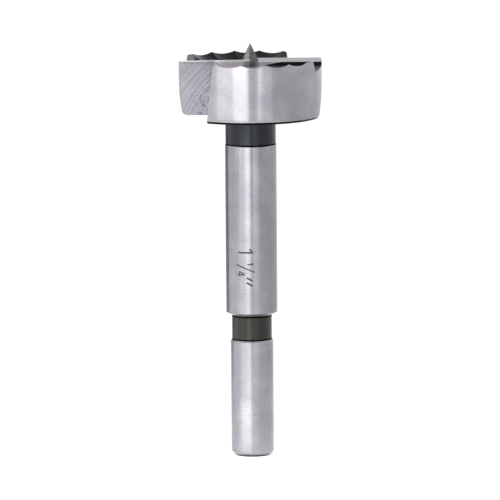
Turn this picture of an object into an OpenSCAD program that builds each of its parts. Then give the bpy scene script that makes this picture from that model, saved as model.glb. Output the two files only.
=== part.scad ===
// Boring bit for clean flat-bottomed holes in wood. One solid tool, sizes in millimetres.
// It stands on the end of its shank with the axis along +Z, and its two lips lie along X.
// Each half of the head is the other half turned half a turn about the axis.

/* [Shank] */
// Shank diameter, three eighths of an inch
shank_d = 9.525; // [8:0.005:10]
// Shank length from its end to the groove
shank_l = 26; // [20:0.5:40]
// Bevel round the shank end, across and along
shank_bevel = 0.95; // [0.4:0.05:1.5]
// Edge break at the top of the shank
shank_break = 0.25; // [0.1:0.05:0.3]

/* [Groove] */
// Groove depth below the shank surface
groove_depth = 0.31; // [0.3:0.01:1]
// Groove length between shank and body
groove_l = 5.5; // [3:0.5:10]

/* [Body] */
// Body diameter
body_d = 11.45; // [11:0.05:11.7]
// Body length from the groove to the neck
body_l = 38.15; // [20:0.05:60]
// Slope of the shoulder at the bottom of the body
shoulder_angle = 30; // [15:5:45]
// Edge break at the top of the body
body_break = 0.12; // [0.05:0.01:0.2]

/* [Neck] */
// Neck depth below the body surface
neck_depth = 0.11; // [0.05:0.01:0.2]
// Neck length between body and head
neck_l = 5.95; // [4:0.05:12]
// Hollow corner between the neck and the back of the head
neck_cove = 1.1; // [0.5:0.1:1.3]

/* [Head] */
// Diameter of the hole that the bit bores, one and a quarter inches
bore_d = 31.75; // [30:0.05:38]
// Head height from its back to the outer ends of the lips
head_h = 13.05; // [12:0.05:16]
// Rounding of the edge at the back of the head
back_round = 1.2; // [0.4:0.1:1.5]

/* [Lips] */
// Distance of each cutting edge ahead of the centre line
lip_ahead = 1.7; // [1.4:0.05:2]
// Fall of each cutting edge from the centre out to the rim, in degrees
lip_fall = 0.25; // [0.25:0.25:1]
// Forward lean of the rake face below each cutting edge, in degrees
hook_angle = 29; // [20:1:30]
// Width of the bright land behind each cutting edge
land_w = 3.1; // [2.6:0.1:3.4]
// Relief of the land, in degrees
land_relief = 11; // [8:1:14]
// Step from the back of the land down to the chip floor
land_step = 0.6; // [0.4:0.1:0.9]
// Slope of the chip floor behind the land, in degrees
floor_slope = 10; // [8:1:13]

/* [Gullets] */
// Distance of the gullet root from the axis, along the lip
gullet_root = 6.1; // [5.8:0.05:6.4]
// Angle between the rake face and the far wall of the gullet
gullet_angle = 75; // [70:1:80]
// Rounding of the gullet root
gullet_round = 1.6; // [1:0.1:2]

/* [Rim] */
// Height of the rim crests above the outer ends of the lips
rim_rise = 0.18; // [0.1:0.02:0.4]
// Thickness of the rim wall
rim_wall = 2.6; // [2.2:0.1:3]
// Inward slope of the rim's sharpened top, in degrees
rim_bevel = 25; // [15:1:30]
// Flat left at the outside edge of the sharpened top
rim_flat = 0.15; // [0.1:0.05:0.4]
// Angle from the middle of a rim forward to its leading end
rim_lead = 59; // [55:1:62]
// Lean of the rim's leading end, in degrees
rim_end_lean = 19; // [10:1:25]
// Rounding of the top corner at each end of the rim
rim_end_round = 1; // [0.6:0.1:1.2]
// Scallops in each rim
scallop_count = 4; // [3:1:4]
// Angle from one scallop to the next
scallop_pitch = 20; // [18:1:21]
// Angle from the middle of a rim to its hindmost scallop
scallop_start = -20; // [-21:1:-18]
// Scallop depth below the crests
scallop_depth = 0.52; // [0.3:0.02:0.6]
// Width of the crest left between two scallops
crest_w = 0.35; // [0.2:0.05:0.5]

/* [Point] */
// Height of the centre point above the outer ends of the lips
point_h = 3.6; // [3:0.1:5]
// Angle between opposite edges of the point
point_angle = 52; // [46:1:56]
// Turn of the point about the axis
point_turn = -11; // [-45:1:45]

/* [Hidden] */
$fn = 128;
overlap = 0.3;

shank_r = shank_d / 2;
groove_r = shank_r - groove_depth;
body_r = body_d / 2;
neck_r = body_r - neck_depth;
head_r = bore_d / 2;
rim_r = head_r - rim_wall;

body_z = shank_l + groove_l;
shoulder_h = (body_r - groove_r) * tan(shoulder_angle);
neck_z = body_z + body_l;
head_z = neck_z + neck_l;
lip_z = head_z + head_h;
rim_z = lip_z + rim_rise;
tip_z = lip_z + point_h;

lip_centre_z = lip_z + head_r * tan(lip_fall);
land_back = lip_ahead - land_w;
land_back_z = lip_z - land_w * tan(land_relief) - land_step;
rim_end = -head_r * cos(rim_lead);
wall_turn = atan2(sin(gullet_angle), cos(gullet_angle) * cos(hook_angle));
wall_lean = asin(cos(gullet_angle) * sin(hook_angle));
wall_off = lip_ahead * cos(wall_turn) - gullet_root * sin(wall_turn);
scallop_half = head_r * sin(scallop_pitch / 2) - crest_w / 2;
scallop_r = (pow(scallop_half, 2) + pow(scallop_depth, 2)) / (2 * scallop_depth);
clear_z = tip_z + 1;

// Height of the chip floor at a distance y from the centre line.
function floor_z(y) = land_back_z - (land_back - y) * tan(floor_slope);

// Carries a profile drawn in Y and Z along X, from x0 to x1.
module along_x(x0, x1) {
    rotate([90, 0, 90])
        translate([0, 0, x0])
            linear_extrude(x1 - x0)
                children();
}

// Sets a feature on both halves of the head.
module both_halves() {
    children();
    rotate([0, 0, 180])
        children();
}

// Half the section of everything below the head, with the neck run a little way up into the head.
module stem_section() {
    polygon([
        [0, 0],
        [shank_r - shank_bevel, 0],
        [shank_r, shank_bevel],
        [shank_r, shank_l - shank_break],
        [shank_r - shank_break, shank_l],
        [groove_r, shank_l],
        [groove_r, body_z],
        [body_r, body_z + shoulder_h],
        [body_r, neck_z - body_break],
        [body_r - body_break / 2, neck_z],
        [neck_r, neck_z],
        [neck_r, head_z + 2],
        [0, head_z + 2]
    ]);
    difference() {
        translate([neck_r - overlap, head_z - neck_cove])
            square([neck_cove + overlap, neck_cove + overlap]);
        translate([neck_r + neck_cove, head_z - neck_cove])
            circle(neck_cove);
    }
}

// Half the section of the head before its cuts, round at the back edge.
module head_section() {
    round_r = head_r - back_round;
    translate([0, head_z + back_round])
        square([head_r, rim_z - head_z - back_round]);
    translate([0, head_z])
        square([round_r, back_round + overlap]);
    translate([round_r, head_z + back_round])
        circle(back_round);
}

// The gullet that opens in front of a lip, milled straight through the head at the hook angle.
module gullet() {
    flat = gullet_round / tan(gullet_angle / 2);
    wall = [cos(gullet_angle), sin(gullet_angle)];
    translate([gullet_root, lip_ahead, lip_z])
        rotate([-hook_angle, 0, 0])
            translate([0, 0, -2 * head_h])
                linear_extrude(3 * head_h) {
                    polygon([
                        [flat, 0],
                        [bore_d, 0],
                        [bore_d, bore_d],
                        wall * bore_d,
                        wall * flat,
                        [flat, gullet_round]
                    ]);
                    translate([flat, gullet_round])
                        circle(gullet_round);
                }
}

// What is ground away above a lip, down to its cutting edge and the land behind it.
module land_cut() {
    translate([0, lip_ahead, lip_centre_z])
        rotate([land_relief, lip_fall, 0])
            translate([0, -land_w - 1, 0])
                cube([bore_d, land_w + 3, clear_z - lip_z]);
}

// The hollow behind a lip: a sloping chip floor inside the rim, running out past the rim's leading end.
module chip_pocket() {
    far = -bore_d;
    near = max(-lip_ahead, land_back) + overlap;
    intersection() {
        difference() {
            along_x(far, bore_d)
                polygon([
                    [near, clear_z],
                    [near, floor_z(near)],
                    [far, floor_z(far)],
                    [far, clear_z]
                ]);
            translate([0, land_back, head_z])
                cube([2 * bore_d, bore_d, 2 * head_h]);
            translate([-2 * bore_d, -lip_ahead, head_z])
                cube([2 * bore_d, bore_d, 2 * head_h]);
        }
        union() {
            translate([0, 0, head_z])
                cylinder(r = rim_r, h = clear_z - head_z);
            translate([0, rim_end, rim_z])
                rotate([rim_end_lean, 0, 0])
                    translate([0, 0, -head_h])
                        cube([bore_d, bore_d, 2 * head_h]);
        }
    }
}

// The bevel that brings the top of the rim to an edge at its outside, all along the rim.
module rim_bevel_cut() {
    lead = rim_lead + 5;
    rotate([0, 0, -90 - lead])
        rotate_extrude(angle = 2 * lead)
            polygon([
                [head_r - rim_flat, rim_z],
                [head_r - rim_flat, clear_z],
                [rim_r - 1, clear_z],
                [rim_r - 1, rim_z - (rim_wall + 1 - rim_flat) * tan(rim_bevel)]
            ]);
}

// What is rounded off a corner at the origin, where a level top ends in a side that leans out below it.
module corner_cut(lean) {
    reach = 2 * rim_end_round;
    centre = 0.9 * rim_end_round * [-(1 - sin(lean)) / cos(lean), -1];
    translate(centre)
        difference() {
            polygon([[0, 0], [0, reach], [reach, reach], [reach * cos(lean), reach * sin(lean)]]);
            circle(rim_end_round);
        }
}

// The rounded top corners at the leading end of the rim and along the far wall of the gullet.
module rim_corners() {
    along_x(0, bore_d)
        translate([rim_end, rim_z])
            corner_cut(rim_end_lean);
    rotate([0, 0, wall_turn])
        along_x(rim_r / 2, bore_d)
            translate([wall_off + rim_rise * tan(wall_lean), rim_z])
                mirror([1, 0])
                    corner_cut(wall_lean);
}

// The hollows ground across the rim, each one running down and inward.
module scallops() {
    reach = rim_wall + 1;
    for (i = [0 : scallop_count - 1])
        rotate([0, 0, scallop_start + i * scallop_pitch])
            translate([0, -head_r, rim_z - scallop_depth])
                rotate([90 - rim_bevel, 0, 0])
                    translate([0, scallop_r, -reach])
                        cylinder(r = scallop_r, h = 2 * reach);
}

// The four-sided centre point, rooted below the chip floor.
module centre_point() {
    root_h = tip_z - floor_z(land_back - 1) + 1;
    half_w = root_h * tan(point_angle / 2) / sqrt(2);
    rotate([0, 0, point_turn + 45])
        translate([0, 0, tip_z])
            intersection_for (turn = [0, 90])
                rotate([90, 0, turn])
                    linear_extrude(2 * half_w, center = true)
                        polygon([[0, 0], [-half_w, -root_h], [half_w, -root_h]]);
}

module head() {
    difference() {
        rotate_extrude()
            head_section();
        both_halves() {
            gullet();
            chip_pocket();
            land_cut();
            rim_bevel_cut();
            rim_corners();
            scallops();
        }
    }
    centre_point();
}

module boring_bit() {
    color([0.62, 0.62, 0.66])
        union() {
            rotate_extrude()
                stem_section();
            head();
        }
}

boring_bit();
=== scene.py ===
import math

import bmesh
import bpy
from mathutils import Matrix, Vector


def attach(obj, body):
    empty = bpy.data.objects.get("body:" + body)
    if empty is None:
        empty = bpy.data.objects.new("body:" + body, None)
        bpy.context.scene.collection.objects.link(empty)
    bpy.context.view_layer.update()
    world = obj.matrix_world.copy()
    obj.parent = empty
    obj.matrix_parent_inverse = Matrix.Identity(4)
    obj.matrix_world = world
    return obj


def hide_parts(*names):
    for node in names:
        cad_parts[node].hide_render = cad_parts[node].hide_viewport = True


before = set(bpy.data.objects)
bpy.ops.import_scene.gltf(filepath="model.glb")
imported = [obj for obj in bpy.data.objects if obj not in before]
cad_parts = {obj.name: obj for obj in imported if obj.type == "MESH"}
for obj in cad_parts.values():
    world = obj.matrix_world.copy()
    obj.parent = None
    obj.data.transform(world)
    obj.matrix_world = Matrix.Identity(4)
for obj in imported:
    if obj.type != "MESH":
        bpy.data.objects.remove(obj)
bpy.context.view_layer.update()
print("frame loaded", list(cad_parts))


def linear(hexColour):
    channels = [int(hexColour[i:i + 2], 16) / 255 for i in (1, 3, 5)]
    return [c / 12.92 if c <= 0.04045 else ((c + 0.055) / 1.055) ** 2.4 for c in channels] + [1]


# Adds a node, sets its properties, then fills each input with a value or a link.
def addNode(tree, kind, inputs=None, **settings):
    node = tree.nodes.new(kind)
    for name, value in settings.items():
        setattr(node, name, value)
    for key, value in (inputs or {}).items():
        if isinstance(value, bpy.types.NodeSocket):
            tree.links.new(value, node.inputs[key])
        else:
            node.inputs[key].default_value = value
    return node


def startMaterial(name):
    material = bpy.data.materials.new(name)
    material.use_nodes = True
    material.node_tree.nodes.clear()
    return material, material.node_tree


def linkPiece(name, data):
    piece = bpy.data.objects.new(name, data)
    bpy.context.scene.collection.objects.link(piece)
    return piece


# Sizes in the looks are millimetres. A texture's scale is a count per metre, so it is 1000 / spacing.
# A pair named From and To is where a change sets in and where it is complete.

# Both cutting edges: their height at the axis, and their fall for each millimetre outwards.
lipEdge = {"axisZ": 88.72, "fall": 0.00436}

groundLook = {
    "light": "#a3a2a8", "dark": "#96959d", "cloudSpacing": 5.0, "cloudFrom": 0.35, "cloudTo": 0.65,
    "hoopSpacing": 0.16,  # grit lines are finer, drawn this coarse so that they show
    "hoopLength": 14.0, "hoopDepth": 0.0004, "hoopFrom": 0.3, "hoopTo": 0.7, "smooth": 0.22, "rough": 0.3,
    "stretch": 0.88, "stretchTurn": 0.25,
    "pitted": "#78777e", "pitSpacing": 0.45, "pitFrom": 0.6, "pitTo": 0.75, "pitShare": 0.45,
    "bevelShade": "#34343a", "bevelShadeFrom": 0.25, "bevelShadeTo": 0.7,  # painted shade: the bevel at the shank end drawn dark
}


# Tool steel ground between centres: grit lines run round the axis, so light draws out in bands along it.
def makeGroundSteel(look):
    material, tree = startMaterial("groundSteel")
    coords = addNode(tree, "ShaderNodeTexCoord")
    across, around = 1000 / look["hoopSpacing"], 1000 / look["hoopLength"]
    hoopPlace = addNode(tree, "ShaderNodeMapping", {
        "Vector": coords.outputs["Object"], "Scale": (around, around, across)})
    hoops = addNode(tree, "ShaderNodeTexNoise", {"Vector": hoopPlace.outputs[0], "Scale": 1, "Detail": 4})
    clouds = addNode(tree, "ShaderNodeTexNoise", {
        "Vector": coords.outputs["Object"], "Scale": 1000 / look["cloudSpacing"], "Detail": 3})
    tone = addNode(tree, "ShaderNodeMapRange", {
        "Value": clouds.outputs["Fac"], "From Min": look["cloudFrom"], "From Max": look["cloudTo"]})
    colour = addNode(tree, "ShaderNodeMix", {
        "Factor": tone.outputs[0], 6: linear(look["dark"]), 7: linear(look["light"])}, data_type="RGBA")
    pits = addNode(tree, "ShaderNodeTexNoise", {
        "Vector": coords.outputs["Object"], "Scale": 1000 / look["pitSpacing"], "Detail": 2})
    pitted = addNode(tree, "ShaderNodeMapRange", {
        "Value": pits.outputs["Fac"], "From Min": look["pitFrom"], "From Max": look["pitTo"],
        "To Max": look["pitShare"]})
    marked = addNode(tree, "ShaderNodeMix", {
        "Factor": pitted.outputs[0], 6: colour.outputs[2], 7: linear(look["pitted"])}, data_type="RGBA")
    place = addNode(tree, "ShaderNodeSeparateXYZ", {0: coords.outputs["Object"]})
    # painted shade: darker over the lowest 0.7 mm of the shank, its end bevel
    outsideBevelShade = addNode(tree, "ShaderNodeMapRange", {
        "Value": place.outputs["Z"], "From Min": look["bevelShadeFrom"] / 1000, "From Max": look["bevelShadeTo"] / 1000})
    bevelShaded = addNode(tree, "ShaderNodeMix", {
        "Factor": outsideBevelShade.outputs[0], 6: linear(look["bevelShade"]), 7: marked.outputs[2]}, data_type="RGBA")
    polish = addNode(tree, "ShaderNodeMapRange", {
        "Value": hoops.outputs["Fac"], "From Min": look["hoopFrom"], "From Max": look["hoopTo"],
        "To Min": look["smooth"], "To Max": look["rough"]})
    lines = addNode(tree, "ShaderNodeBump", {
        "Height": hoops.outputs["Fac"], "Strength": 1, "Distance": look["hoopDepth"] / 1000})
    aroundAxis = addNode(tree, "ShaderNodeTangent", direction_type="RADIAL", axis="Z")
    shader = addNode(tree, "ShaderNodeBsdfPrincipled", {
        "Base Color": bevelShaded.outputs[2], "Metallic": 1, "Roughness": polish.outputs[0],
        "Anisotropic": look["stretch"], "Anisotropic Rotation": look["stretchTurn"],
        "Tangent": aroundAxis.outputs[0], "Normal": lines.outputs[0]})
    addNode(tree, "ShaderNodeOutputMaterial", {"Surface": shader.outputs[0]})
    return material


milledLook = {
    "light": "#92909a", "dark": "#7a7880", "toneFrom": 0.55, "toneTo": 0.9, "rough": 0.4,
    "millAlongLip": -9.0, "millHeight": 67.0,  # centre of the cutter's sweep
    "feedSpacing": 0.6, "feedDepth": 0.003, "strokeBreaks": 2.5, "waversPerMetre": 120,
    "speckSpacing": 0.35, "speckShare": 0.45,
    "edgeGlint": "#aeacb1", "edgeGlintW": 0.45,  # painted highlight: a bright line along the cutting edge
    "burrShare": 0.3, "burrFrom": 2.2, "burrTo": 1.4,  # the dull line below it, in widths of the bright one
    "pit": "#524f57", "pitSpacing": 0.5, "pitFrom": 0.53, "pitTo": 0.65, "pitShare": 0.8,
    "pitAlong": 13.6, "pitTop": 84.0, "pitFadeAlong": 2.5, "pitFadeDown": 4.0,  # pits lie near the root
    "farWallFrom": 0.3, "farWallTo": 0.6,  # how far the gullet's far wall faces along the lip
    "scale": "#121214", "scaleFrom": 86.2, "scaleTo": 87.4,  # left black at the top of the far wall
    "scaleR": 12.2, "scaleFade": 1.0, "shine": 0.05,
}


# Steel milled in one pass: long shallow feed marks that curve up and out across the gullet.
def makeMilledSteel(look, edge):
    material, tree = startMaterial("milledSteel")
    coords = addNode(tree, "ShaderNodeTexCoord")
    place = addNode(tree, "ShaderNodeSeparateXYZ", {0: coords.outputs["Object"]})
    along = addNode(tree, "ShaderNodeMath", {0: place.outputs["X"]}, operation="ABSOLUTE")
    fromMillX = addNode(tree, "ShaderNodeMath", {
        0: along.outputs[0], 1: look["millAlongLip"] / 1000}, operation="SUBTRACT")
    fromMillZ = addNode(tree, "ShaderNodeMath", {
        0: place.outputs["Z"], 1: look["millHeight"] / 1000}, operation="SUBTRACT")
    arm = addNode(tree, "ShaderNodeCombineXYZ", {"X": fromMillX.outputs[0], "Y": fromMillZ.outputs[0]})
    reach = addNode(tree, "ShaderNodeVectorMath", {0: arm.outputs[0]}, operation="LENGTH")
    waver = addNode(tree, "ShaderNodeTexNoise", {
        "Vector": coords.outputs["Object"], "Scale": look["waversPerMetre"], "Detail": 1})
    passes = addNode(tree, "ShaderNodeMath", {
        0: reach.outputs["Value"], 1: 1000 / look["feedSpacing"]}, operation="MULTIPLY")
    breaks = addNode(tree, "ShaderNodeMath", {
        0: waver.outputs["Fac"], 1: look["strokeBreaks"]}, operation="MULTIPLY")
    track = addNode(tree, "ShaderNodeCombineXYZ", {"X": passes.outputs[0], "Y": breaks.outputs[0]})
    marks = addNode(tree, "ShaderNodeTexNoise", {
        "Vector": track.outputs[0], "Scale": 1, "Detail": 3, "Roughness": 0.6})
    specks = addNode(tree, "ShaderNodeTexNoise", {
        "Vector": coords.outputs["Object"], "Scale": 1000 / look["speckSpacing"], "Detail": 2})
    grain = addNode(tree, "ShaderNodeMath", {
        0: specks.outputs["Fac"], 1: look["speckShare"], 2: marks.outputs["Fac"]}, operation="MULTIPLY_ADD")
    tone = addNode(tree, "ShaderNodeMapRange", {
        "Value": grain.outputs[0], "From Min": look["toneFrom"], "From Max": look["toneTo"]})
    colour = addNode(tree, "ShaderNodeMix", {
        "Factor": tone.outputs[0], 6: linear(look["dark"]), 7: linear(look["light"])}, data_type="RGBA")
    facing = addNode(tree, "ShaderNodeSeparateXYZ", {0: coords.outputs["Normal"]})
    sideways = addNode(tree, "ShaderNodeMath", {0: facing.outputs["X"]}, operation="ABSOLUTE")
    onFarWall = addNode(tree, "ShaderNodeMapRange", {
        "Value": sideways.outputs[0], "From Min": look["farWallFrom"], "From Max": look["farWallTo"]})
    # pits and the burr
    inwardOf = addNode(tree, "ShaderNodeMapRange", {
        "Value": along.outputs[0], "From Min": look["pitAlong"] / 1000,
        "From Max": (look["pitAlong"] - look["pitFadeAlong"]) / 1000})
    below = addNode(tree, "ShaderNodeMapRange", {
        "Value": place.outputs["Z"], "From Min": look["pitTop"] / 1000,
        "From Max": (look["pitTop"] - look["pitFadeDown"]) / 1000})
    nearRoot = addNode(tree, "ShaderNodeMath", {
        0: inwardOf.outputs[0], 1: below.outputs[0]}, operation="MULTIPLY")
    holes = addNode(tree, "ShaderNodeTexNoise", {
        "Vector": coords.outputs["Object"], "Scale": 1000 / look["pitSpacing"], "Detail": 2})
    hole = addNode(tree, "ShaderNodeMapRange", {
        "Value": holes.outputs["Fac"], "From Min": look["pitFrom"], "From Max": look["pitTo"],
        "To Max": look["pitShare"]})
    scarred = addNode(tree, "ShaderNodeMath", {
        0: hole.outputs[0], 1: nearRoot.outputs[0]}, operation="MULTIPLY")
    pitted = addNode(tree, "ShaderNodeMath", {
        0: scarred.outputs[0], 1: onFarWall.outputs[0]}, operation="SUBTRACT", use_clamp=True)
    edgeRise = addNode(tree, "ShaderNodeMath", {
        0: along.outputs[0], 1: edge["fall"], 2: place.outputs["Z"]}, operation="MULTIPLY_ADD")
    burr = addNode(tree, "ShaderNodeMapRange", {
        "Value": edgeRise.outputs[0], "From Min": (edge["axisZ"] - look["burrFrom"] * look["edgeGlintW"]) / 1000,
        "From Max": (edge["axisZ"] - look["burrTo"] * look["edgeGlintW"]) / 1000, "To Max": look["burrShare"]})
    stained = addNode(tree, "ShaderNodeMath", {0: pitted.outputs[0], 1: burr.outputs[0]}, operation="MAXIMUM")
    worked = addNode(tree, "ShaderNodeMix", {
        "Factor": stained.outputs[0], 6: colour.outputs[2], 7: linear(look["pit"])}, data_type="RGBA")
    # painted highlight: the bright line of the cutting edge
    edgeGlint = addNode(tree, "ShaderNodeMapRange", {
        "Value": edgeRise.outputs[0], "From Min": (edge["axisZ"] - look["edgeGlintW"]) / 1000,
        "From Max": (edge["axisZ"] - look["edgeGlintW"] / 2) / 1000})
    edgeLine = addNode(tree, "ShaderNodeMath", {
        0: edgeGlint.outputs[0], 1: onFarWall.outputs[0]}, operation="SUBTRACT", use_clamp=True)
    finished = addNode(tree, "ShaderNodeMix", {
        "Factor": edgeLine.outputs[0], 6: worked.outputs[2], 7: linear(look["edgeGlint"])}, data_type="RGBA")
    # black scale at the top of the far wall, next to the rim
    nearTop = addNode(tree, "ShaderNodeMapRange", {
        "Value": place.outputs["Z"], "From Min": look["scaleFrom"] / 1000,
        "From Max": look["scaleTo"] / 1000})
    fromAxis = addNode(tree, "ShaderNodeCombineXYZ", {"X": place.outputs["X"], "Y": place.outputs["Y"]})
    radius = addNode(tree, "ShaderNodeVectorMath", {0: fromAxis.outputs[0]}, operation="LENGTH")
    nearRim = addNode(tree, "ShaderNodeMapRange", {
        "Value": radius.outputs["Value"], "From Min": look["scaleR"] / 1000,
        "From Max": (look["scaleR"] + look["scaleFade"]) / 1000, "To Max": onFarWall.outputs[0]})
    scaled = addNode(tree, "ShaderNodeMath", {
        0: nearTop.outputs[0], 1: nearRim.outputs[0]}, operation="MULTIPLY")
    skin = addNode(tree, "ShaderNodeMix", {
        "Factor": scaled.outputs[0], 6: finished.outputs[2], 7: linear(look["scale"])}, data_type="RGBA")
    metal = addNode(tree, "ShaderNodeMath", {0: 1, 1: scaled.outputs[0]}, operation="SUBTRACT")
    ridges = addNode(tree, "ShaderNodeBump", {
        "Height": grain.outputs[0], "Strength": 1, "Distance": look["feedDepth"] / 1000})
    shader = addNode(tree, "ShaderNodeBsdfPrincipled", {
        "Base Color": skin.outputs[2], "Metallic": metal.outputs[0], "Roughness": look["rough"],
        "Specular IOR Level": look["shine"], "Normal": ridges.outputs[0]})
    addNode(tree, "ShaderNodeOutputMaterial", {"Surface": shader.outputs[0]})
    return material


stonedLook = {
    "light": "#b3b1b6", "dark": "#98969d", "smooth": 0.28, "rough": 0.42,
    "strokeSpacing": 0.25,  # a fine stone's scratches are closer, drawn this coarse so that they show
    "strokeLength": 2.5, "strokeDepth": 0.0012, "strokeFrom": 0.3, "strokeTo": 0.7,
}


# Lip lands touched up on a stone: short strokes across the edge that scatter a bright even sheen.
def makeStonedSteel(look):
    material, tree = startMaterial("stonedSteel")
    coords = addNode(tree, "ShaderNodeTexCoord")
    stroke, length = 1000 / look["strokeSpacing"], 1000 / look["strokeLength"]
    strokePlace = addNode(tree, "ShaderNodeMapping", {
        "Vector": coords.outputs["Object"], "Scale": (stroke, length, length)})
    strokes = addNode(tree, "ShaderNodeTexNoise", {"Vector": strokePlace.outputs[0], "Scale": 1, "Detail": 3})
    colour = addNode(tree, "ShaderNodeMix", {
        "Factor": strokes.outputs["Fac"], 6: linear(look["dark"]), 7: linear(look["light"])},
        data_type="RGBA")
    polish = addNode(tree, "ShaderNodeMapRange", {
        "Value": strokes.outputs["Fac"], "From Min": look["strokeFrom"], "From Max": look["strokeTo"],
        "To Min": look["smooth"], "To Max": look["rough"]})
    lines = addNode(tree, "ShaderNodeBump", {
        "Height": strokes.outputs["Fac"], "Strength": 1, "Distance": look["strokeDepth"] / 1000})
    shader = addNode(tree, "ShaderNodeBsdfPrincipled", {
        "Base Color": colour.outputs[2], "Metallic": 1, "Roughness": polish.outputs[0],
        "Normal": lines.outputs[0]})
    addNode(tree, "ShaderNodeOutputMaterial", {"Surface": shader.outputs[0]})
    return material


scaleLook = {
    "neck": "#060708", "groove": "#070605", "grooveTop": 33.0, "neckFoot": 68.0, "rough": 0.22,
    "neckSheen": "#dfe6f8", "grooveSheen": "#fffaf3",
    "shineNeck": 0.55, "shineGroove": 0.62, "shineInHeadShade": 0.015, "shineRim": 0.1,
    "headFoot": 75.0, "headOn": 75.55, "rimFoot": 80.0, "rimOn": 84.0,  # heights where the shine changes; painted shade dulls the top of the neck and the underside of the head
    "grooveMid": 28.75, "grooveHalf": 2.75, "neckZ": 69.65, "cornerShadeW": 0.45,  # painted shade: no shine deep in a corner
    "worn": "#1f1e21", "wearSpacing": 1.8, "wornFrom": 0.55, "wornTo": 0.8, "wornShare": 0.5,
    "grainSpacing": 0.2,  # the oxide's grain is finer, drawn this coarse so that it shows
    "grainDepth": 0.0008,
    "rubbed": "#646468", "rubbedFrom": 11.4, "rubbedTo": 12.4,  # the leading end of each rim
    "rubbedFoot": 87.1, "rubbedOn": 87.5,
}


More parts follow.
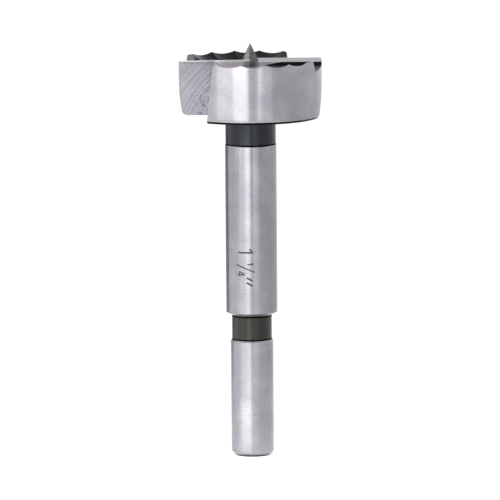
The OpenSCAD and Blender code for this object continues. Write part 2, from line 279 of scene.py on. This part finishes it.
# Oxide scale from hardening: near black with an oily sheen, cool on the neck and warmer in the groove.
# Painted shade takes the shine out in the corners and under the head.
def makeHardeningScale(look):
    material, tree = startMaterial("hardeningScale")
    coords = addNode(tree, "ShaderNodeTexCoord")
    place = addNode(tree, "ShaderNodeSeparateXYZ", {0: coords.outputs["Object"]})
    upStem = addNode(tree, "ShaderNodeMapRange", {
        "Value": place.outputs["Z"], "From Min": look["grooveTop"] / 1000,
        "From Max": look["neckFoot"] / 1000})
    tint = addNode(tree, "ShaderNodeMix", {
        "Factor": upStem.outputs[0], 6: linear(look["groove"]), 7: linear(look["neck"])}, data_type="RGBA")
    sheen = addNode(tree, "ShaderNodeMix", {
        "Factor": upStem.outputs[0], 6: linear(look["grooveSheen"]), 7: linear(look["neckSheen"])},
        data_type="RGBA")
    shine = addNode(tree, "ShaderNodeMapRange", {
        "Value": upStem.outputs[0], "To Min": look["shineGroove"], "To Max": look["shineNeck"]})
    # painted shade: the shine fades out at the top of the neck and is nearly gone under the head; the rims
    # are a little less dull
    underHeadShade = addNode(tree, "ShaderNodeMapRange", {
        "Value": place.outputs["Z"], "From Min": look["headFoot"] / 1000, "From Max": look["headOn"] / 1000,
        "To Min": 1, "To Max": look["shineInHeadShade"] / look["shineNeck"]})
    onRim = addNode(tree, "ShaderNodeMapRange", {
        "Value": place.outputs["Z"], "From Min": look["rimFoot"] / 1000, "From Max": look["rimOn"] / 1000,
        "To Max": look["shineRim"] / look["shineNeck"]})
    headShadeAndRimShine = addNode(tree, "ShaderNodeMath", {0: underHeadShade.outputs[0], 1: onRim.outputs[0]}, operation="MAXIMUM")
    # painted shade: dark corners at both ends of the groove and at the foot of the neck
    fromMid = addNode(tree, "ShaderNodeMath", {
        0: place.outputs["Z"], 1: look["grooveMid"] / 1000}, operation="SUBTRACT")
    fromGroove = addNode(tree, "ShaderNodeMath", {0: fromMid.outputs[0]}, operation="ABSOLUTE")
    insideGroove = addNode(tree, "ShaderNodeMath", {
        0: look["grooveHalf"] / 1000, 1: fromGroove.outputs[0]}, operation="SUBTRACT")
    aboveNeck = addNode(tree, "ShaderNodeMath", {
        0: place.outputs["Z"], 1: look["neckZ"] / 1000}, operation="SUBTRACT")
    fromCorner = addNode(tree, "ShaderNodeMath", {
        0: insideGroove.outputs[0], 1: aboveNeck.outputs[0]}, operation="MAXIMUM")
    outOfCornerShade = addNode(tree, "ShaderNodeMapRange", {
        "Value": fromCorner.outputs[0], "From Min": look["cornerShadeW"] / 2 / 1000,
        "From Max": look["cornerShadeW"] / 1000})
    lit = addNode(tree, "ShaderNodeMath", {
        0: shine.outputs[0], 1: outOfCornerShade.outputs[0]}, operation="MULTIPLY")
    gloss = addNode(tree, "ShaderNodeMath", {0: lit.outputs[0], 1: headShadeAndRimShine.outputs[0]}, operation="MULTIPLY")
    patches = addNode(tree, "ShaderNodeTexNoise", {
        "Vector": coords.outputs["Object"], "Scale": 1000 / look["wearSpacing"], "Detail": 4})
    worn = addNode(tree, "ShaderNodeMapRange", {
        "Value": patches.outputs["Fac"], "From Min": look["wornFrom"], "From Max": look["wornTo"],
        "To Max": look["wornShare"]})
    colour = addNode(tree, "ShaderNodeMix", {
        "Factor": worn.outputs[0], 6: tint.outputs[2], 7: linear(look["worn"])}, data_type="RGBA")
    # bare grey steel at the leading end of each rim
    half = addNode(tree, "ShaderNodeMath", {0: place.outputs["Y"]}, operation="SIGN")
    along = addNode(tree, "ShaderNodeMath", {0: place.outputs["X"], 1: half.outputs[0]}, operation="MULTIPLY")
    rubbed = addNode(tree, "ShaderNodeMapRange", {
        "Value": along.outputs[0], "From Min": -look["rubbedFrom"] / 1000,
        "From Max": -look["rubbedTo"] / 1000})
    rimEnd = addNode(tree, "ShaderNodeMapRange", {
        "Value": place.outputs["Z"], "From Min": look["rubbedFoot"] / 1000,
        "From Max": look["rubbedOn"] / 1000, "To Max": rubbed.outputs[0]})
    coat = addNode(tree, "ShaderNodeMix", {
        "Factor": rimEnd.outputs[0], 6: colour.outputs[2], 7: linear(look["rubbed"])}, data_type="RGBA")
    grain = addNode(tree, "ShaderNodeTexNoise", {
        "Vector": coords.outputs["Object"], "Scale": 1000 / look["grainSpacing"], "Detail": 2})
    skin = addNode(tree, "ShaderNodeBump", {
        "Height": grain.outputs["Fac"], "Strength": 1, "Distance": look["grainDepth"] / 1000})
    shader = addNode(tree, "ShaderNodeBsdfPrincipled", {
        "Base Color": coat.outputs[2], "Metallic": rimEnd.outputs[0], "Roughness": look["rough"],
        "Specular IOR Level": gloss.outputs[0], "Specular Tint": sheen.outputs[2], "Normal": skin.outputs[0]})
    addNode(tree, "ShaderNodeOutputMaterial", {"Surface": shader.outputs[0]})
    return material


hollowLook = {
    "bright": "#bab2b9", "bluish": "#a0a0a5", "black": "#0b0a0b", "dusty": "#1f1d1e", "patchSpacing": 3.5,
    "patchMean": 0.5, "rough": 0.4, "shine": 0.1,
    "brightTo": 2.8, "soft": 0.4, "ragged": 0.45,  # the line where bright steel turns black
    "edgeFoot": 87.3, "edgeSlope": 5.5,  # above this height the line leans towards the axis
    # painted shade: a dark patch at the foot of the point, its place, size and ragged edge
    "pointShadeAlong": -0.55, "pointShadeOut": 1.9, "pointShadeR": 0.5, "pointShadeSoft": 1.7, "pointShadeShare": 0.9,
    "pointShadeRagged": 2.4,
    # painted highlight: a bright line along the tops of the hollow's walls, under the cutting edge
    "edgeGlint": "#d2cfd4", "edgeGlintW": 0.5,
}


# The hollow behind each lip: ground bright round the point, and black scale further out along the lip.
def makeHollowSteel(look, edge):
    material, tree = startMaterial("hollowSteel")
    coords = addNode(tree, "ShaderNodeTexCoord")
    place = addNode(tree, "ShaderNodeSeparateXYZ", {0: coords.outputs["Object"]})
    half = addNode(tree, "ShaderNodeMath", {0: place.outputs["Y"]}, operation="SIGN")
    along = addNode(tree, "ShaderNodeMath", {0: place.outputs["X"], 1: half.outputs[0]}, operation="MULTIPLY")
    outward = addNode(tree, "ShaderNodeMath", {0: place.outputs["Y"]}, operation="ABSOLUTE")
    above = addNode(tree, "ShaderNodeMath", {
        0: place.outputs["Z"], 1: look["edgeFoot"] / 1000}, operation="SUBTRACT")
    lift = addNode(tree, "ShaderNodeMath", {0: above.outputs[0], 1: 0}, operation="MAXIMUM")
    reach = addNode(tree, "ShaderNodeMath", {
        0: lift.outputs[0], 1: look["edgeSlope"], 2: along.outputs[0]}, operation="MULTIPLY_ADD")
    patches = addNode(tree, "ShaderNodeTexNoise", {
        "Vector": coords.outputs["Object"], "Scale": 1000 / look["patchSpacing"], "Detail": 2})
    drift = addNode(tree, "ShaderNodeMath", {
        0: patches.outputs["Fac"], 1: look["patchMean"]}, operation="SUBTRACT")
    wander = addNode(tree, "ShaderNodeMath", {
        0: outward.outputs[0], 1: look["ragged"]}, operation="MULTIPLY")
    blackLine = addNode(tree, "ShaderNodeMath", {
        0: drift.outputs[0], 1: wander.outputs[0], 2: reach.outputs[0]}, operation="MULTIPLY_ADD")
    ground = addNode(tree, "ShaderNodeMapRange", {
        "Value": blackLine.outputs[0], "From Min": -look["brightTo"] / 1000,
        "From Max": (look["soft"] - look["brightTo"]) / 1000})
    # painted shade: a dark patch at the foot of the point
    fromAlong = addNode(tree, "ShaderNodeMath", {
        0: along.outputs[0], 1: look["pointShadeAlong"] / 1000}, operation="SUBTRACT")
    fromOut = addNode(tree, "ShaderNodeMath", {
        0: outward.outputs[0], 1: look["pointShadeOut"] / 1000}, operation="SUBTRACT")
    toPointShade = addNode(tree, "ShaderNodeCombineXYZ", {"X": fromAlong.outputs[0], "Y": fromOut.outputs[0]})
    pointShadeR = addNode(tree, "ShaderNodeVectorMath", {0: toPointShade.outputs[0]}, operation="LENGTH")
    fringe = addNode(tree, "ShaderNodeMath", {
        0: drift.outputs[0], 1: look["pointShadeRagged"] / 1000, 2: pointShadeR.outputs["Value"]},
        operation="MULTIPLY_ADD")
    outOfPointShade = addNode(tree, "ShaderNodeMapRange", {
        "Value": fringe.outputs[0], "From Min": look["pointShadeR"] / 1000,
        "From Max": (look["pointShadeR"] + look["pointShadeSoft"]) / 1000, "To Min": 1 - look["pointShadeShare"]})
    bare = addNode(tree, "ShaderNodeMath", {
        0: ground.outputs[0], 1: outOfPointShade.outputs[0]}, operation="MULTIPLY")
    steel = addNode(tree, "ShaderNodeMix", {
        "Factor": patches.outputs["Fac"], 6: linear(look["bluish"]), 7: linear(look["bright"])},
        data_type="RGBA")
    scale = addNode(tree, "ShaderNodeMix", {
        "Factor": patches.outputs["Fac"], 6: linear(look["black"]), 7: linear(look["dusty"])},
        data_type="RGBA")
    colour = addNode(tree, "ShaderNodeMix", {
        "Factor": bare.outputs[0], 6: scale.outputs[2], 7: steel.outputs[2]}, data_type="RGBA")
    # painted highlight: the bright line of the cutting edge runs on to the point
    fromAxis = addNode(tree, "ShaderNodeMath", {0: place.outputs["X"]}, operation="ABSOLUTE")
    edgeRise = addNode(tree, "ShaderNodeMath", {
        0: fromAxis.outputs[0], 1: edge["fall"], 2: place.outputs["Z"]}, operation="MULTIPLY_ADD")
    edgeGlint = addNode(tree, "ShaderNodeMapRange", {
        "Value": edgeRise.outputs[0], "From Min": (edge["axisZ"] - look["edgeGlintW"]) / 1000,
        "From Max": (edge["axisZ"] - look["edgeGlintW"] / 2) / 1000})
    finished = addNode(tree, "ShaderNodeMix", {
        "Factor": edgeGlint.outputs[0], 6: colour.outputs[2], 7: linear(look["edgeGlint"])}, data_type="RGBA")
    metal = addNode(tree, "ShaderNodeMath", {0: bare.outputs[0], 1: edgeGlint.outputs[0]}, operation="MAXIMUM")
    shader = addNode(tree, "ShaderNodeBsdfPrincipled", {
        "Base Color": finished.outputs[2], "Metallic": metal.outputs[0], "Roughness": look["rough"],
        "Specular IOR Level": look["shine"]})
    addNode(tree, "ShaderNodeOutputMaterial", {"Surface": shader.outputs[0]})
    return material


pointLook = {
    # painted shade: light is the lit facets' colour, dark and foot the shaded facets' colours
    "light": "#9fa19d", "dark": "#67666d", "cornerLean": 0.19, "rough": 0.36,
    "fleck": "#3b3a40", "speckSpacing": 0.8, "speckDepth": 0.002, "fleckFrom": 0.5, "fleckTo": 0.7,
    "fleckShare": 0.8,
    "foot": "#4a413e", "footFrom": 87.5, "footTo": 88.9,
}


# The centre point: coarse grinding with dark flecks; painted shade makes two facets darker, and brown where
# they meet the hollow.
def makePointSteel(look):
    material, tree = startMaterial("pointSteel")
    coords = addNode(tree, "ShaderNodeTexCoord")
    place = addNode(tree, "ShaderNodeSeparateXYZ", {0: coords.outputs["Object"]})
    half = addNode(tree, "ShaderNodeMath", {0: place.outputs["Y"]}, operation="SIGN")
    along = addNode(tree, "ShaderNodeMath", {0: place.outputs["X"], 1: half.outputs[0]}, operation="MULTIPLY")
    outward = addNode(tree, "ShaderNodeMath", {0: place.outputs["Y"]}, operation="ABSOLUTE")
    # painted shade: the facets behind a plane leaning from the axis take the dark colour
    corner = addNode(tree, "ShaderNodeMath", {
        0: outward.outputs[0], 1: look["cornerLean"]}, operation="MULTIPLY")
    shadedSide = addNode(tree, "ShaderNodeMath", {
        0: along.outputs[0], 1: corner.outputs[0]}, operation="LESS_THAN")
    facet = addNode(tree, "ShaderNodeMix", {
        "Factor": shadedSide.outputs[0], 6: linear(look["light"]), 7: linear(look["dark"])}, data_type="RGBA")
    specks = addNode(tree, "ShaderNodeTexNoise", {
        "Vector": coords.outputs["Object"], "Scale": 1000 / look["speckSpacing"], "Detail": 3})
    flecks = addNode(tree, "ShaderNodeMapRange", {
        "Value": specks.outputs["Fac"], "From Min": look["fleckFrom"], "From Max": look["fleckTo"],
        "To Max": look["fleckShare"]})
    flecked = addNode(tree, "ShaderNodeMix", {
        "Factor": flecks.outputs[0], 6: facet.outputs[2], 7: linear(look["fleck"])}, data_type="RGBA")
    # painted shade: brown at the foot of the shaded facets
    low = addNode(tree, "ShaderNodeMapRange", {
        "Value": place.outputs["Z"], "From Min": look["footFrom"] / 1000, "From Max": look["footTo"] / 1000,
        "To Min": 1, "To Max": 0})
    foot = addNode(tree, "ShaderNodeMath", {0: low.outputs[0], 1: shadedSide.outputs[0]}, operation="MULTIPLY")
    colour = addNode(tree, "ShaderNodeMix", {
        "Factor": foot.outputs[0], 6: flecked.outputs[2], 7: linear(look["foot"])}, data_type="RGBA")
    lines = addNode(tree, "ShaderNodeBump", {
        "Height": specks.outputs["Fac"], "Strength": 1, "Distance": look["speckDepth"] / 1000})
    shader = addNode(tree, "ShaderNodeBsdfPrincipled", {
        "Base Color": colour.outputs[2], "Metallic": 1, "Roughness": look["rough"],
        "Normal": lines.outputs[0]})
    addNode(tree, "ShaderNodeOutputMaterial", {"Surface": shader.outputs[0]})
    return material


finishes = {"ground": makeGroundSteel(groundLook), "milled": makeMilledSteel(milledLook, lipEdge),
            "stoned": makeStonedSteel(stonedLook), "scale": makeHardeningScale(scaleLook),
            "hollow": makeHollowSteel(hollowLook, lipEdge), "point": makePointSteel(pointLook)}
print("finishes made", list(finishes))

# Millimetres, as in the frame; they only sort faces, so the shape stays the CAD's.
bitSizes = {
    "grooveFrom": 26.0, "grooveTo": 31.5, "neckFrom": 69.65, "headFrom": 75.6, "headR": 15.875,
    "lipZ": 88.65, "lipAhead": 1.7, "landW": 3.1, "hook": 29, "gulletRoot": 6.1, "rimR": 13.275,
    "pointR": 3.2, "near": 0.03, "rimDepth": 0.6, "landFall": 0.6, "weld": 0.0002, "sharpFrom": 24,
    # parts of a face's unit normal
    "groundDown": -0.5, "groundUp": 0.2, "outwards": 0.5, "alongMill": 0.02, "forwards": 0.98, "level": 0.95,
    "pointFrom": 0.2, "pointTo": 0.6,
}


# Which process made a face, from its place and the way it faces.
def finishOf(size, centre, normal):
    x, y, z = centre
    radius = math.hypot(x, y)
    near = size["near"]
    if z < size["headFrom"] - near:
        inGroove = size["grooveFrom"] - near < z < size["grooveTo"] + near
        return "scale" if inGroove or z > size["neckFrom"] - near else "ground"
    upright = size["groundDown"] < normal.z < size["groundUp"]
    outwards = normal.x * x + normal.y * y > size["outwards"] * radius
    if radius > size["headR"] - size["rimDepth"] and upright and outwards:
        return "ground"
    lean = math.radians(size["hook"])
    for turn in (1, -1):
        ahead, along = turn * y - size["lipAhead"], turn * x
        across = ahead * math.cos(lean) - (z - size["lipZ"]) * math.sin(lean)
        square = turn * normal.y * math.sin(lean) + normal.z * math.cos(lean)
        if along > size["gulletRoot"] - near and across > -near and abs(square) < size["alongMill"]:
            return "milled"
        behind = -size["landW"] - near < ahead < near
        if along > 0 and behind and normal.z > size["level"] and z > size["lipZ"] - size["landFall"]:
            return "stoned"
        onEdge = along > 0 and abs(ahead) < near and turn * normal.y > size["forwards"]
        onStep = abs(ahead + size["landW"]) < near and turn * normal.y < -size["forwards"]
        if onEdge or onStep:
            return "hollow"
    if radius < size["pointR"] and size["pointFrom"] < normal.z < size["pointTo"]:
        return "point"
    if radius < size["rimR"] and normal.z > size["level"] and z < size["lipZ"] - size["landFall"]:
        return "hollow"
    return "scale"


def makeBit(size):
    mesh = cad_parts["boring_bit"].data.copy()
    mesh.name = "finishedBit"
    names = list(finishes)
    mesh.materials.clear()
    for name in names:
        mesh.materials.append(finishes[name])
    shape = bmesh.new()
    shape.from_mesh(mesh)
    bmesh.ops.remove_doubles(shape, verts=shape.verts, dist=size["weld"] / 1000)
    for face in shape.faces:
        face.smooth = True
        face.material_index = names.index(finishOf(size, face.calc_center_median() * 1000, face.normal))
    shape.to_mesh(mesh)
    shape.free()
    if "custom_normal" in mesh.attributes:
        mesh.attributes.remove(mesh.attributes["custom_normal"])
    mesh.set_sharp_from_angle(angle=math.radians(size["sharpFrom"]))
    return linkPiece("finishedBit", mesh)


finishedBit = makeBit(bitSizes)
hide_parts("boring_bit")
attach(finishedBit, "root")
print("bit finished", len(finishedBit.data.polygons), "faces")

# Size figures. A stroke runs from one point to another and has a width, all in millimetres: the first measure
# of a point is down the body, and the second is towards the tops of the figures.
markSizes = {
    "bodyR": 5.725, "top": 47.5, "baseAzimuth": -32.9, "proud": 0.012, "splits": 3,
    "ink": "#44444d", "inkMetal": 0.3, "inkRough": 0.55,
    "strokes": [
        (1.45, 0.0, 1.45, 3.4, 0.36), (0.6, 2.55, 1.4, 3.35, 0.32),  # whole inch
        (4.1, 2.1, 4.1, 3.45, 0.28), (3.7, 3.0, 4.05, 3.45, 0.24),  # one
        (4.15, -0.5, 5.8, 3.75, 0.28),  # bar
        (6.4, -0.25, 6.4, 1.5, 0.26), (5.7, 0.3, 6.35, 1.5, 0.24), (5.65, 0.25, 6.75, 0.25, 0.24),  # four
        (7.1, 1.95, 7.75, 3.3, 0.4), (8.15, 1.95, 8.95, 3.3, 0.4),  # inch mark
    ],
}


# Etching in steel: the acid leaves a dull, slightly rough dark line.
def makeEtching(look):
    material, tree = startMaterial("etchedSteel")
    shader = addNode(tree, "ShaderNodeBsdfPrincipled", {
        "Base Color": linear(look["ink"]), "Metallic": look["inkMetal"], "Roughness": look["inkRough"]})
    addNode(tree, "ShaderNodeOutputMaterial", {"Surface": shader.outputs[0]})
    return material


# Lays a flat drawing on the body: its X runs down the axis and its Y runs round the surface.
def makeWrapTree():
    tree = bpy.data.node_groups.new("wrapOnBody", "GeometryNodeTree")
    face = tree.interface
    face.new_socket("Drawing", in_out="INPUT", socket_type="NodeSocketGeometry")
    kinds = {"Radius": "NodeSocketFloat", "Base Angle": "NodeSocketFloat", "Top": "NodeSocketFloat",
             "Splits": "NodeSocketInt", "Etching": "NodeSocketMaterial"}
    sockets = {name: face.new_socket(name, in_out="INPUT", socket_type=kind).identifier
               for name, kind in kinds.items()}
    face.new_socket("Mark", in_out="OUTPUT", socket_type="NodeSocketGeometry")
    given = addNode(tree, "NodeGroupInput")
    triangles = addNode(tree, "GeometryNodeTriangulate", {"Mesh": given.outputs["Drawing"]})
    fine = addNode(tree, "GeometryNodeSubdivideMesh", {
        "Mesh": triangles.outputs[0], "Level": given.outputs["Splits"]})
    position = addNode(tree, "GeometryNodeInputPosition")
    flat = addNode(tree, "ShaderNodeSeparateXYZ", {0: position.outputs[0]})
    arc = addNode(tree, "ShaderNodeMath", {
        0: flat.outputs["Y"], 1: given.outputs["Radius"]}, operation="DIVIDE")
    angle = addNode(tree, "ShaderNodeMath", {
        0: arc.outputs[0], 1: given.outputs["Base Angle"]}, operation="ADD")
    sine = addNode(tree, "ShaderNodeMath", {0: angle.outputs[0]}, operation="SINE")
    cosine = addNode(tree, "ShaderNodeMath", {0: angle.outputs[0]}, operation="COSINE")
    x = addNode(tree, "ShaderNodeMath", {
        0: sine.outputs[0], 1: given.outputs["Radius"]}, operation="MULTIPLY")
    inward = addNode(tree, "ShaderNodeMath", {
        0: cosine.outputs[0], 1: given.outputs["Radius"]}, operation="MULTIPLY")
    y = addNode(tree, "ShaderNodeMath", {0: 0, 1: inward.outputs[0]}, operation="SUBTRACT")
    z = addNode(tree, "ShaderNodeMath", {
        0: given.outputs["Top"], 1: flat.outputs["X"]}, operation="SUBTRACT")
    wrapped = addNode(tree, "ShaderNodeCombineXYZ", {"X": x.outputs[0], "Y": y.outputs[0], "Z": z.outputs[0]})
    moved = addNode(tree, "GeometryNodeSetPosition", {
        "Geometry": fine.outputs[0], "Position": wrapped.outputs[0]})
    real = addNode(tree, "GeometryNodeRealizeInstances", {"Geometry": moved.outputs[0]})
    inked = addNode(tree, "GeometryNodeSetMaterial", {
        "Geometry": real.outputs[0], "Material": given.outputs["Etching"]})
    addNode(tree, "NodeGroupOutput", {"Mark": inked.outputs[0]})
    return tree, sockets


def makeMark(look):
    drawing = bmesh.new()
    for x0, y0, x1, y1, width in look["strokes"]:
        length = math.hypot(x1 - x0, y1 - y0)
        sideX, sideY = (y1 - y0) / length * width / 2, -(x1 - x0) / length * width / 2
        corners = [(x0 - sideX, y0 - sideY), (x0 + sideX, y0 + sideY), (x1 + sideX, y1 + sideY),
                   (x1 - sideX, y1 - sideY)]
        drawing.faces.new([drawing.verts.new((x / 1000, y / 1000, 0)) for x, y in corners])
    mesh = bpy.data.meshes.new("flatMark")
    drawing.to_mesh(mesh)
    drawing.free()
    flat = linkPiece("flatMark", mesh)
    tree, sockets = makeWrapTree()
    wrap = flat.modifiers.new("wrap", "NODES")
    wrap.node_group = tree
    wrap[sockets["Radius"]] = (look["bodyR"] + look["proud"]) / 1000
    wrap[sockets["Base Angle"]] = math.radians(look["baseAzimuth"])
    wrap[sockets["Top"]] = look["top"] / 1000
    wrap[sockets["Splits"]] = look["splits"]
    wrap[sockets["Etching"]] = makeEtching(look)
    graph = bpy.context.evaluated_depsgraph_get()
    wrapped = bpy.data.meshes.new_from_object(flat.evaluated_get(graph), depsgraph=graph)
    bpy.data.objects.remove(flat)
    wrapped.name = "sizeMark"
    shape = bmesh.new()
    shape.from_mesh(wrapped)
    for face in shape.faces:
        middle = face.calc_center_median()
        if face.normal.x * middle.x + face.normal.y * middle.y < 0:
            face.normal_flip()
    shape.to_mesh(wrapped)
    shape.free()
    return linkPiece("sizeMark", wrapped)


sizeMark = makeMark(markSizes)
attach(sizeMark, "root")
print("mark etched", len(sizeMark.data.polygons), "faces")

# Metres from here on.
stageLook = {"floor": "#ececec", "floorHalf": 3, "floorGlow": 0.72, "seenWorld": 1.0, "lightWorld": 0.45}


# Pale matte floor: white to the eye and in the metal, and still darker where the bit shades it.
def makeFloor(look):
    half = look["floorHalf"]
    mesh = bpy.data.meshes.new("floor")
    mesh.from_pydata([(-half, -half, 0), (half, -half, 0), (half, half, 0), (-half, half, 0)], [],
                     [(0, 1, 2, 3)])
    material, tree = startMaterial("paleFloor")
    path = addNode(tree, "ShaderNodeLightPath")
    seen = addNode(tree, "ShaderNodeMath", {
        0: path.outputs["Is Camera Ray"], 1: path.outputs["Is Glossy Ray"]}, operation="MAXIMUM")
    shown = addNode(tree, "ShaderNodeMath", {
        0: seen.outputs[0], 1: path.outputs["Is Transmission Ray"]}, operation="MAXIMUM")
    matte = addNode(tree, "ShaderNodeBsdfDiffuse", {"Color": linear(look["floor"])})
    glow = addNode(tree, "ShaderNodeEmission", {"Strength": look["floorGlow"]})
    lit = addNode(tree, "ShaderNodeAddShader", {0: matte.outputs[0], 1: glow.outputs[0]})
    both = addNode(tree, "ShaderNodeMixShader", {
        0: shown.outputs[0], 1: matte.outputs[0], 2: lit.outputs[0]})
    addNode(tree, "ShaderNodeOutputMaterial", {"Surface": both.outputs[0]})
    mesh.materials.append(material)
    linkPiece("floor", mesh)


# White where it is seen, itself or in the metal, and dimmer as a light, so that the lamps shape the bit.
def makeWorld(look):
    world = bpy.data.worlds.new("studio")
    bpy.context.scene.world = world
    world.use_nodes = True
    tree = world.node_tree
    tree.nodes.clear()
    path = addNode(tree, "ShaderNodeLightPath")
    seen = addNode(tree, "ShaderNodeMath", {
        0: path.outputs["Is Camera Ray"], 1: path.outputs["Is Glossy Ray"]}, operation="MAXIMUM")
    shown = addNode(tree, "ShaderNodeMath", {
        0: seen.outputs[0], 1: path.outputs["Is Transmission Ray"]}, operation="MAXIMUM")
    strength = addNode(tree, "ShaderNodeMapRange", {
        "Value": shown.outputs[0], "To Min": look["lightWorld"], "To Max": look["seenWorld"]})
    back = addNode(tree, "ShaderNodeBackground", {"Color": (1, 1, 1, 1), "Strength": strength.outputs[0]})
    addNode(tree, "ShaderNodeOutputWorld", {"Surface": back.outputs[0]})


# Azimuth from the front, positive to the right; spread is the half width as seen from the bit, in degrees.
# A box stands upright and faces the bit, and tilt turns it down towards the floor.
softBoxes = {
    "keyBox": {"azimuth": -17.5, "spread": 11, "distance": 0.17, "height": 0.168, "tall": 0.244, "tilt": 0,
               "strength": 2.8},
    "bodyBox": {"azimuth": -19, "spread": 9, "distance": 0.17, "height": 0.0125, "tall": 0.024, "tilt": 0,
                "strength": 1.2},
    "lowBox": {"azimuth": -36, "spread": 28, "distance": 0.1, "height": 0.0055, "tall": 0.009, "tilt": 0,
               "strength": 1.2},
    "sideBox": {"azimuth": -80, "spread": 25, "distance": 0.1, "height": 0.02, "tall": 0.038, "tilt": 0,
                "strength": 0.2},
    "leftBox": {"azimuth": -42, "spread": 14, "distance": 0.18, "height": 0.17, "tall": 0.25, "tilt": 0,
                "strength": 1.5},
    "cheekBox": {"azimuth": -66, "spread": 11, "distance": 0.1, "height": 0.088, "tall": 0.05, "tilt": 0,
                 "strength": 0.6},
    "stripBox": {"azimuth": 12.5, "spread": 2.5, "distance": 0.18, "height": 0.17, "tall": 0.26, "tilt": 0,
                 "strength": 1.7},
    "rightBox": {"azimuth": 24, "spread": 7, "distance": 0.18, "height": 0.17, "tall": 0.26, "tilt": 0,
                 "strength": 0.4},
    "floorBox": {"azimuth": -38, "spread": 24, "distance": 0.04, "height": 0.014, "tall": 0.04, "tilt": 90,
                 "strength": 3.5},
}
boxTint = (1, 0.985, 0.945)


def makeSoftBox(name, look):
    angle = math.radians(look["azimuth"])
    light = bpy.data.lights.new(name, "AREA")
    light.shape = "RECTANGLE"
    light.color = boxTint
    light.size = 2 * look["distance"] * math.tan(math.radians(look["spread"]))
    light.size_y = look["tall"]
    light.energy = look["strength"] * light.size * light.size_y * math.pi
    lamp = linkPiece(name, light)
    lamp.location = (math.sin(angle) * look["distance"], -math.cos(angle) * look["distance"], look["height"])
    lamp.rotation_euler = (math.radians(90 - look["tilt"]), 0, angle)


# Grey cards beside the bit, out of the picture and seen only in the metal, which give it its darker edges.
sideCards = {
    "rightCard": {"x": 0.09, "fromY": -0.15, "toY": 0.6, "tall": 0.066, "tone": 0.82},
    "leftCard": {"x": -0.09, "fromY": 0.06, "toY": 0.6, "tall": 0.12, "tone": 0.35},
}


def makeSideCard(name, look):
    x, near, far, tall = look["x"], look["fromY"], look["toY"], look["tall"]
    mesh = bpy.data.meshes.new(name)
    mesh.from_pydata([(x, near, 0), (x, far, 0), (x, far, tall), (x, near, tall)], [], [(0, 1, 2, 3)])
    material, tree = startMaterial(name)
    glow = addNode(tree, "ShaderNodeEmission", {"Strength": look["tone"]})
    addNode(tree, "ShaderNodeOutputMaterial", {"Surface": glow.outputs[0]})
    mesh.materials.append(material)
    card = linkPiece(name, mesh)
    card.visible_camera = card.visible_diffuse = card.visible_shadow = False


# A long lens: across is the width that the picture shows at the aim.
cameraLook = {"azimuth": -2.5, "elevation": 7.53, "roll": 0.4, "distance": 2.0, "across": 0.11118,
              "aim": (-0.00032, 0, 0.04594), "sensor": 36, "clipEnd": 20}


def makeCamera(look):
    azimuth, elevation = math.radians(look["azimuth"]), math.radians(look["elevation"])
    towards = Vector((math.sin(azimuth) * math.cos(elevation), -math.cos(azimuth) * math.cos(elevation),
                      math.sin(elevation)))
    data = bpy.data.cameras.new("camera")
    data.sensor_width = look["sensor"]
    data.lens = look["sensor"] * look["distance"] / look["across"]
    data.clip_end = look["clipEnd"]
    camera = linkPiece("camera", data)
    level = towards.to_track_quat("Z", "Y").to_matrix().to_4x4()
    turn = level @ Matrix.Rotation(-math.radians(look["roll"]), 4, "Z")
    camera.matrix_world = Matrix.Translation(Vector(look["aim"]) + towards * look["distance"]) @ turn
    bpy.context.scene.camera = camera


makeFloor(stageLook)
makeWorld(stageLook)
for boxName, boxLook in softBoxes.items():
    makeSoftBox(boxName, boxLook)
for cardName, cardLook in sideCards.items():
    makeSideCard(cardName, cardLook)
makeCamera(cameraLook)
bpy.context.scene.view_settings.view_transform = "Standard"
print("stage set")
